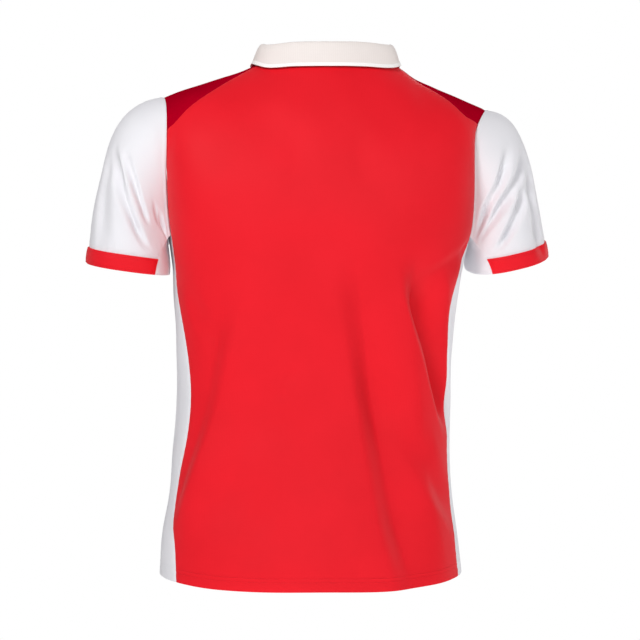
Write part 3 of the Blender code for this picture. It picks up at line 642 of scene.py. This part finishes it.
def grid_line(first, last, length, times=1):
    """Even steps from first to last over so many times a length of cloth, in cells of the set size."""
    return np.linspace(first, last, times * math.ceil(length / sizes().cell) + 1)


def from_edge(points, edge):
    """How far each place of a grid lies from its start or end row, or its left or right column."""
    axis = 0 if edge in ("start", "end") else 1
    steps = np.linalg.norm(np.diff(points, axis=axis), axis=-1)
    far = np.insert(np.cumsum(steps, axis=axis), 0, 0, axis=axis)
    return far if edge in ("start", "left") else np.take(far, [-1], axis=axis) - far


def slow_waves(points):
    """Slow uneven waves of the cloth, a sum of sines of the place."""
    total = np.zeros(points.shape[:2])
    for wave in SLOW_WAVES:
        angle = wave.turn * points[..., 0] + wave.turn * 0.7 * points[..., 1] + wave.rise * points[..., 2]
        total += wave.height * np.sin(2 * np.pi * angle + wave.start)
    return total


def dent(far, middle, width):
    """A soft groove or ridge, 1 at the middle and falling to nothing as a bell curve on either side."""
    return np.exp(-(((far - middle) / width) ** 2))


def sewn(points, edges):
    """The dip of the cloth into a seam, with puckers beside it that are sines of the way along.

    The slow waves calm down towards the seam too.
    """
    relief = slow_waves(points)
    for edge in edges.split():
        relief = relief * ease(from_edge(points, edge) / CALM_REACH)
    for edge in edges.split():
        far = from_edge(points, edge)
        beside = from_edge(points, "left" if edge in ("start", "end") else "start")
        pucker = np.sin(beside / 0.0019 + 1.3 * np.sin(beside / 0.017)) * dent(far, 0.004, 0.005)
        relief = relief - sizes().seam_dip * (dent(far, 0, 0.0024) + 0.25 * pucker)
    return relief


def hemmed(points):
    """The relief of a panel sewn on three sides, with its hem at the start.

    The doubled hem has a faint step where the turned cloth ends, and the dips of its sewing.
    """
    far = from_edge(points, "start")
    hem = sizes().hem
    relief = sewn(points, "end left right") + HEM_STEP * ease((hem - far) / 0.0015 + 0.5)
    for row in (hem, hem - HEM_ROWS_APART):
        relief = relief - HEM_DIP * dent(far, row, ROW_DIP_WIDTH)
    return relief


def hem_thickness(points):
    """Twice the cloth up to the end of the turned hem, and once above it."""
    return sizes().cloth * (1 + ease((sizes().hem - from_edge(points, "start")) / 0.001 + 0.5))


def shell(name, slot, surface, first, second, relief, flip=False, thickness=None, zero="start"):
    """A cloth piece: a closed thin wall whose outer face is the surface, moved out by its relief.

    first runs down the rows of the grid and second along its columns. The cloth's map is the distance along
    the rows from the middle column, and along the columns from the zero row, in metres.
    """
    first, second = as_grid(first, second)
    form = surface(first, second)
    down = surface(first + STEP, second) - surface(first - STEP, second)
    along = surface(first, second + STEP) - surface(first, second - STEP)
    facing = unit(np.cross(down, along)) * (-1 if flip else 1)
    outer = form + facing * relief(form)[..., None]
    inner = outer - facing * (sizes().cloth if thickness is None else thickness(form)[..., None])
    rows, columns = outer.shape[:2]
    numbers = np.arange(rows * columns).reshape(rows, columns)
    under = numbers + rows * columns
    rim = np.concatenate([numbers[0, :-1], numbers[:-1, -1], numbers[-1, :0:-1], numbers[:0:-1, 0]])
    rim_next = np.roll(rim, -1)
    quads = [
        (numbers[:-1, :-1], numbers[1:, :-1], numbers[1:, 1:], numbers[:-1, 1:]),
        (under[:-1, :-1], under[:-1, 1:], under[1:, 1:], under[1:, :-1]),
        (rim, rim_next, rim_next + rows * columns, rim + rows * columns),
    ]
    faces = np.concatenate([np.stack(four, axis=-1).reshape(-1, 4) for four in quads])
    if flip:
        faces = faces[:, ::-1]
    sideways = from_edge(form, "left")
    sideways = sideways - sideways[:, [columns // 2]]
    spots = np.stack([sideways, from_edge(form, zero)], axis=-1).reshape(-1, 2)
    corners = np.concatenate([outer.reshape(-1, 3), inner.reshape(-1, 3)])
    piece = mesh_piece(name, slot, corners, faces, np.concatenate([spots, spots]))
    piece.data.set_sharp_from_angle(angle=math.radians(60))
    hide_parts(name)
    GRIDS[name] = form, outer, facing
    return piece


def placed(name, data):
    """An object in the scene that holds a mesh, a light or a camera."""
    made = bpy.data.objects.new(name, data)
    bpy.context.scene.collection.objects.link(made)
    return made


def aimed(name, data, place, way):
    """A lamp or a camera at a place, turned to look the given way."""
    made = placed(name, data)
    made.location = place
    made.rotation_euler = way.to_track_quat("-Z", "Y").to_euler()
    return made


def mesh_piece(name, slot, corners, faces, spots):
    """An object with quads and its cloth map, that rides on the one body and takes its slot's finish."""
    mesh = bpy.data.meshes.new(name)
    mesh.vertices.add(len(corners))
    mesh.vertices.foreach_set("co", corners.astype(np.float32).ravel())
    mesh.loops.add(faces.size)
    mesh.loops.foreach_set("vertex_index", faces.astype(np.int32).ravel())
    mesh.polygons.add(len(faces))
    mesh.polygons.foreach_set("loop_start", np.arange(0, faces.size, 4, dtype=np.int32))
    cloth_map = mesh.uv_layers.new(name="cloth").uv
    cloth_map.foreach_set("vector", spots[faces.ravel()].astype(np.float32).ravel())
    mesh.update(calc_edges=True)
    mesh.polygons.foreach_set("use_smooth", np.ones(len(faces), dtype=bool))
    mesh.materials.append(knit(slot))
    piece = placed(name, mesh)
    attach(piece, "root")
    return piece


def seam_line(name, edge, distance):
    """A line on a piece, one distance from its start or end row, and the way the cloth faces along it."""
    form, outer, facing = GRIDS[name]
    far = from_edge(form, edge)
    if edge == "end":
        far, outer, facing = far[::-1], outer[::-1], facing[::-1]
    low = np.clip(np.sum(far <= distance, axis=0) - 1, 0, len(far) - 2)
    column = np.arange(far.shape[1])
    share = ((distance - far[low, column]) / (far[low + 1, column] - far[low, column]))[:, None]
    places = outer[low, column] * (1 - share) + outer[low + 1, column] * share
    return places, facing[low, column]


def stitches(name, slot, rows):
    """Sewn stitches, little rounded threads half sunk in the cloth, with gaps between them along a row.

    One stitch is a tube whose radius swells from its ends to its middle, turned to run along the row.
    """
    length, thread = sizes().stitch, sizes().thread
    t = np.array((0.0, 0.12, 0.35, 0.65, 0.88, 1.0))[:, None]
    turn = np.radians(np.arange(0, 360, 60))
    swell = 0.5 * thread * np.array((0.45, 0.85, 1.0, 1.0, 0.85, 0.45))[:, None]
    tube = np.stack([(t - 0.5) * length + 0 * turn, swell * np.cos(turn), swell * np.sin(turn)], axis=-1)
    rings, sides = tube.shape[:2]
    index = np.arange(rings * sides).reshape(rings, sides)
    after = np.roll(index, -1, axis=1)
    round_faces = np.stack([index[:-1], after[:-1], after[1:], index[1:]], axis=-1).reshape(-1, 4)
    last = (rings - 1) * sides
    first_cap = np.array(((0, 5, 4, 3), (0, 3, 2, 1)))
    last_cap = last + np.array(((0, 1, 2, 3), (0, 3, 4, 5)))
    one = np.concatenate([round_faces, first_cap, last_cap])
    corners, faces, count = [], [], 0
    for places, facing in rows:
        far = np.concatenate([[0], np.cumsum(np.linalg.norm(np.diff(places, axis=0), axis=-1))])
        number = int(far[-1] / (length * 1.3))
        stops = (np.arange(number) + 0.5) / number * far[-1]
        middle, ahead, behind, out = (
            np.stack([np.interp(stops + shift, far, column) for column in values.T], axis=-1)
            for shift, values in ((0, places), (length / 2, places), (-length / 2, places), (0, facing))
        )
        run = unit(ahead - behind)
        aside = unit(np.cross(out, run))
        axes = np.stack([run, aside, np.cross(run, aside)], axis=1)
        made = middle[:, None, :] + np.einsum("kj,sji->ski", tube.reshape(-1, 3), axes)
        corners.append(made.reshape(-1, 3))
        faces.append((one + (np.arange(number) * rings * sides + count)[:, None, None]).reshape(-1, 4))
        count += number * rings * sides
    corners = np.concatenate(corners)
    return mesh_piece(name, slot, corners, np.concatenate(faces), corners[:, [0, 2]])


def body_panel(name, face):
    """The back or the front, in rows from the hem up to the shoulder seams and the neckline."""
    neck = NECK_SHARE * np.sin(np.radians(grid_line(-90, 90, 0.13, 2)))
    beside = grid_line(NECK_SHARE, 1, 0.16)[1:]
    across = np.concatenate([-beside[::-1], neck, beside])
    top = np.where(np.abs(across) <= NECK_SHARE + 1e-6, neckline(across, face), shoulder_top(across, face))
    low = grid_line(0, 1, 0.47)[:, None] + 0 * across
    high = 1 + (top - 1) * grid_line(0, 1, 0.22)[1:, None]

    def surface(up, place):
        return body(place, up, face)

    up = np.concatenate([low, high])
    return shell(name, "red_knit", surface, up, across, hemmed, face < 0, hem_thickness)


def shoulder_panel(name, hand):
    """A strip over the shoulder, from its seam on the back to its seam on the front."""
    across = np.sort(hand * grid_line(NECK_SHARE, 1, 0.14))[:, None]

    def surface(place, share):
        back = body(place, 2 - (2 - shoulder_top(place, 1)) * np.maximum(-share, 0), 1)
        front = body(place, 2 - (2 - shoulder_top(place, -1)) * np.maximum(share, 0), -1)
        return np.where(share[..., None] < 0, back, front)

    def relief(points):
        return sewn(points, "start end left right")

    return shell(name, "dark_red_knit", surface, across, grid_line(-1, 1, 0.20), relief, flip=True)


def side_panel(name, hand):
    """The side of the body below the armhole, in rows from the hem to the armpit."""
    height = grid_line(HEM_HEIGHT, ARMPIT_HEIGHT, 0.47)[:, None]

    def surface(level, across):
        return side(hand, across, level)

    across = grid_line(0, 1, 0.20)
    return shell(name, "white_knit", surface, height, across, hemmed, hand < 0, hem_thickness)


def sleeve_set(name, hand):
    """A sleeve, its cuff and its underarm panel, in rows from the armhole to the sleeve's edge."""
    def surface(along, place):
        return sleeve(name, place, along)

    def sleeve_relief(points):
        far = from_edge(points, "start")
        ridge = sizes().seam_ridge * ease(far / 0.0012) * ease((ALLOWANCE - far) / 0.002)
        return sewn(points, "end left right") * ease(far / ARMHOLE_CALM) + ridge

    def cuff_relief(points):
        edge = np.minimum(from_edge(points, "start"), from_edge(points, "end"))
        band = sizes().cuff_relief * ease(edge / 0.0022) - CUFF_DIP * dent(edge, CUFF_INSET, ROW_DIP_WIDTH)
        return band * ease(np.minimum(from_edge(points, "left"), from_edge(points, "right")) / 0.012 + 0.3)

    def underarm_relief(points):
        return sewn(points, "left right") * ease(from_edge(points, "start") / ARMHOLE_CALM)

    def doubled(points):
        return 2 * sizes().cloth + cuff_relief(points)

    loop = grid_line(-TOP_SHARE, TOP_SHARE, 0.36)
    band = cuff_start(name, loop)
    rows = grid_line(0, 1, 0.20)[:, None]
    shell(f"sleeve_{name}", "white_knit", surface, rows * band, loop, sleeve_relief, hand < 0)
    rows = grid_line(0, 1, CUFF_WIDTH, 2)[:, None]
    rows = band + rows * (1 - band)
    shell(f"cuff_{name}", "red_knit", surface, rows, loop, cuff_relief, hand < 0, doubled)
    loop = grid_line(TOP_SHARE, 1 - TOP_SHARE, 0.12)
    rows = grid_line(0, 1, 0.14)[:, None]
    shell(f"underarm_{name}", "white_knit", surface, rows, loop, underarm_relief, hand < 0)


def collar_panel():
    """The collar, from one end at the V round the neck to the other, in rows up from its seam."""
    half = grid_line(COLLAR_END, 1, 0.36)
    place = np.concatenate([half - 1, 1 - half[-2::-1]])
    fold = grid_line(0, 2, 0.05, 2)[:, None]

    def surface(over, where):
        return np.where(where[..., None] < 0, collar(1, 1 + where, over), collar(-1, 1 - where, over))

    def relief(points):
        far = from_edge(points, "end")
        beside = from_edge(points, "left")
        ripple = 0.0004 * np.sin(beside / 0.021) * np.sin(beside / 0.034 + far / 0.02)
        edge = COLLAR_STEP * ease((COLLAR_INSET - far) / 0.001)
        return ripple - COLLAR_DIP * dent(far, COLLAR_INSET, 0.0008) + edge

    def thickness(points):
        edge = np.minimum(from_edge(points, "end"), 0.002) / 0.002
        return sizes().collar_cloth * (0.55 + 0.45 * np.sqrt(np.clip(edge, 0, 1)))

    return shell("collar", "cream_rib", surface, fold, place, relief, False, thickness, zero="end")


def length(name, description, default, least, most):
    """A length that a user can change, in metres."""
    return bpy.props.FloatProperty(
        name=name, description=description, default=default, min=least, max=most,
        unit="LENGTH", subtype="DISTANCE", precision=4,
    )


def dye(name, description, slot):
    """The colour of a cloth, which a user can change."""
    return bpy.props.FloatVectorProperty(
        name=name, description=description, default=linear(FINISHES[slot].colour),
        subtype="COLOR", size=3, min=0, max=1,
    )


class JerseySizes(bpy.types.PropertyGroup):
    """The sizes of the cloth and its sewing."""

    cell: length("Cell", "Side of one cell of the cloth grids", 0.0032, 0.002, 0.02)
    cloth: length("Cloth", "Thickness of the body and sleeve cloth", 0.0009, 0.0004, 0.002)
    collar_cloth: length("Collar cloth", "Thickness of the ribbed collar", 0.0016, 0.0006, 0.003)
    hem: length("Hem", "Depth of the turned hem, up to its upper row of sewing", 0.0175, 0.008, 0.03)
    seam_dip: length("Seam dip", "How deep the cloth dips into a seam", 0.0007, 0, 0.002)
    seam_ridge: length("Seam ridge", "How far the sleeve stands out beside the armhole", 0.0009, 0, 0.002)
    cuff_relief: length("Cuff relief", "How far the cuff stands out from the sleeve", 0.0024, 0, 0.005)
    stitch: length("Stitch", "Length of one stitch", 0.0026, 0.0015, 0.005)
    thread: length("Thread", "Thickness of the sewing thread", 0.0005, 0.0002, 0.001)


class JerseyColours(bpy.types.PropertyGroup):
    """The colours that the cloth is dyed."""

    red_knit: dye("Red", "Body and cuffs", "red_knit")
    dark_red_knit: dye("Dark red", "Shoulder panels", "dark_red_knit")
    white_knit: dye("White", "Sleeves, side panels and underarms", "white_knit")
    cream_rib: dye("Cream", "Collar", "cream_rib")


class JERSEY_OT_stage(bpy.types.Operator):
    """Make the floor, the lights and the camera"""

    bl_idname = "jersey.stage"
    bl_label = "Stage"

    def execute(self, context):
        scene = context.scene
        paint = bpy.data.materials.new("white matt studio paint")
        paint.use_nodes = True
        shader = paint.node_tree.nodes["Principled BSDF"]
        shader.inputs["Base Color"].default_value = (*linear("f4f4f4"), 1)
        shader.inputs["Roughness"].default_value = 0.9
        mesh = bpy.data.meshes.new("floor")
        ends = (-FLOOR_REACH, FLOOR_REACH)
        corners = [(x, y, FLOOR_HEIGHT) for y in ends for x in ends]
        mesh.from_pydata(corners, [], [(0, 1, 3, 2)])
        mesh.materials.append(paint)
        floor = placed("floor", mesh)
        target = Vector(CAMERA_TARGET)
        for lamp in LAMPS:
            data = bpy.data.lights.new(lamp.name, "AREA")
            data.shape = "DISK"
            data.size = lamp.size
            data.energy = lamp.power
            place = Vector((lamp.x, lamp.y, lamp.z))
            aimed(lamp.name, data, place, target - place)
        world = bpy.data.worlds.new("studio")
        world.use_nodes = True
        tree = world.node_tree
        tree.nodes.clear()
        seen = add(tree, "LightPath")["Is Camera Ray"]
        way = add(tree, "TexCoord")["Generated"]
        ends = {"Value": add(tree, "SeparateXYZ", {"Vector": way})["Z"], "From Min": 0, "From Max": 0.8}
        above = add(tree, "MapRange", {**ends, "To Min": WORLD_LIGHT, "To Max": SKY_LIGHT})[0]
        strength = add(tree, "MapRange", {"Value": seen, "To Min": above, "To Max": 1})[0]
        shade = add(tree, "Background", {"Color": (1, 1, 1, 1), "Strength": strength})[0]
        add(tree, "OutputWorld", {"Surface": shade})
        scene.world = world
        scene.view_settings.view_transform = "Standard"
        data = bpy.data.cameras.new("camera")
        data.sensor_width = 36
        data.lens = CAMERA_LENS
        turn = math.radians(CAMERA_TURN)
        away = Vector((math.sin(turn), -math.cos(turn), 0))
        scene.camera = aimed("camera", data, target + away * CAMERA_DISTANCE, -away)
        return {"FINISHED"}


class JERSEY_OT_body(bpy.types.Operator):
    """Make the back and the front"""

    bl_idname = "jersey.body"
    bl_label = "Back and front"

    def execute(self, context):
        for face, name in FACES.items():
            body_panel(name, face)
        return {"FINISHED"}


class JERSEY_OT_shoulders(bpy.types.Operator):
    """Make the two dark shoulder panels"""

    bl_idname = "jersey.shoulders"
    bl_label = "Shoulder panels"

    def execute(self, context):
        for name, hand in HANDS.items():
            shoulder_panel(f"shoulder_{name}", hand)
        return {"FINISHED"}


class JERSEY_OT_sides(bpy.types.Operator):
    """Make the two white side panels"""

    bl_idname = "jersey.sides"
    bl_label = "Side panels"

    def execute(self, context):
        for name, hand in HANDS.items():
            side_panel(f"side_{name}", hand)
        return {"FINISHED"}


class JERSEY_OT_sleeves(bpy.types.Operator):
    """Make both sleeves with their cuffs and underarm panels"""

    bl_idname = "jersey.sleeves"
    bl_label = "Sleeves"

    def execute(self, context):
        for name, hand in HANDS.items():
            sleeve_set(name, hand)
        return {"FINISHED"}


class JERSEY_OT_collar(bpy.types.Operator):
    """Make the folded collar"""

    bl_idname = "jersey.collar"
    bl_label = "Collar"

    def execute(self, context):
        collar_panel()
        return {"FINISHED"}


class JERSEY_OT_stitching(bpy.types.Operator):
    """Sew the hems, the cuffs and the collar. The cloth pieces are made first"""

    bl_idname = "jersey.stitching"
    bl_label = "Stitching"

    def execute(self, context):
        if "collar" not in GRIDS:
            raise RuntimeError("the stitching lies on the cloth pieces, so they are made first")
        rows = (sizes().hem, sizes().hem - HEM_ROWS_APART)
        red = [seam_line(name, "start", far) for name in FACES.values() for far in rows]
        stitches("hem_stitches", "red_thread", red)
        cuffs = [seam_line(f"cuff_{name}", edge, CUFF_INSET) for name in HANDS for edge in ("start", "end")]
        stitches("cuff_stitches", "red_thread", cuffs)
        white = [seam_line(f"side_{name}", "start", far) for name in HANDS for far in rows]
        white += [seam_line(f"underarm_{name}", "end", CUFF_INSET) for name in HANDS]
        stitches("side_stitches", "white_thread", white)
        stitches("collar_stitches", "cream_thread", [seam_line("collar", "end", COLLAR_INSET)])
        return {"FINISHED"}


class JERSEY_PT_panel(bpy.types.Panel):
    """The jersey's sizes, colours and pieces"""

    bl_idname = "JERSEY_PT_panel"
    bl_label = "Jersey"
    bl_space_type = "VIEW_3D"
    bl_region_type = "UI"
    bl_category = "Jersey"

    def draw(self, context):
        for group in (context.scene.jersey_sizes, context.scene.jersey_colours):
            for name in type(group).__annotations__:
                self.layout.prop(group, name)
        for operator in OPERATORS:
            self.layout.operator(operator.bl_idname)


OPERATORS = (
    JERSEY_OT_stage, JERSEY_OT_body, JERSEY_OT_shoulders, JERSEY_OT_sides, JERSEY_OT_sleeves,
    JERSEY_OT_collar, JERSEY_OT_stitching,
)
CLASSES = (JerseySizes, JerseyColours, *OPERATORS, JERSEY_PT_panel)


def register():
    for cls in CLASSES:
        bpy.utils.register_class(cls)
    bpy.types.Scene.jersey_sizes = bpy.props.PointerProperty(type=JerseySizes)
    bpy.types.Scene.jersey_colours = bpy.props.PointerProperty(type=JerseyColours)


def unregister():
    del bpy.types.Scene.jersey_colours
    del bpy.types.Scene.jersey_sizes
    for cls in reversed(CLASSES):
        bpy.utils.unregister_class(cls)


def main():
    register()
    bpy.ops.jersey.stage()
    bpy.ops.jersey.body()
    bpy.ops.jersey.shoulders()
    bpy.ops.jersey.sides()
    bpy.ops.jersey.sleeves()
    bpy.ops.jersey.collar()
    bpy.ops.jersey.stitching()


if __name__ == "__main__":
    main()
